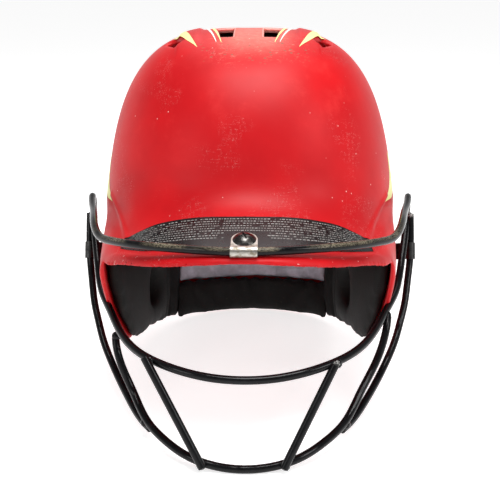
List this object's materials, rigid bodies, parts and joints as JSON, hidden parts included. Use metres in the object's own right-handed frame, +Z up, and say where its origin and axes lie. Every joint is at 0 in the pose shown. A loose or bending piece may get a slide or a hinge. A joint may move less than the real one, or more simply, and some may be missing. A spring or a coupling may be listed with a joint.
{
  "type": "batting helmet",
  "caption": "Red hard-shell batting helmet with a bill, ear flaps, padded lining and a black coated wire face guard clipped to the bill and flaps.",
  "frame": {"origin": "centre of the bounding box, on the floor that the helmet stands on", "axes": "+Z up, -Y the way the wearer faces, +X the wearer's left, seen on the right from the front; the helmet stands tipped back on its chin bar and nape rim"},
  "size_m": [0.2426, 0.3064, 0.2473],
  "materials": {
    "red_shell": "satin",
    "black_vinyl": "matte",
    "black_foam": "matte",
    "grey_foam": "matte",
    "coated_wire": "gloss",
    "worn_steel": "satin"
  },
  "bodies": {
    "root": {"shell": "red_shell", "bill_patch": "black_vinyl", "forehead_pad": "black_foam", "crown_pad": "black_foam", "rear_upper_pad": "grey_foam", "rear_lower_pad": "black_foam", "ear_pad_left": "black_foam", "ear_pad_right": "black_foam", "side_pad_left": "black_foam", "side_pad_right": "black_foam", "guard_loop": "coated_wire", "chin_bar": "coated_wire", "strut_left": "coated_wire", "strut_right": "coated_wire", "vertical_left": "coated_wire", "vertical_right": "coated_wire", "guard_welds": "coated_wire", "bill_clip": "worn_steel", "bill_screw": "worn_steel", "bill_washer": "worn_steel", "bill_nut": "worn_steel", "side_clip_left": "worn_steel", "side_clip_right": "worn_steel", "side_screws": "worn_steel", "side_nuts": "worn_steel"}
  },
  "joints": []
}
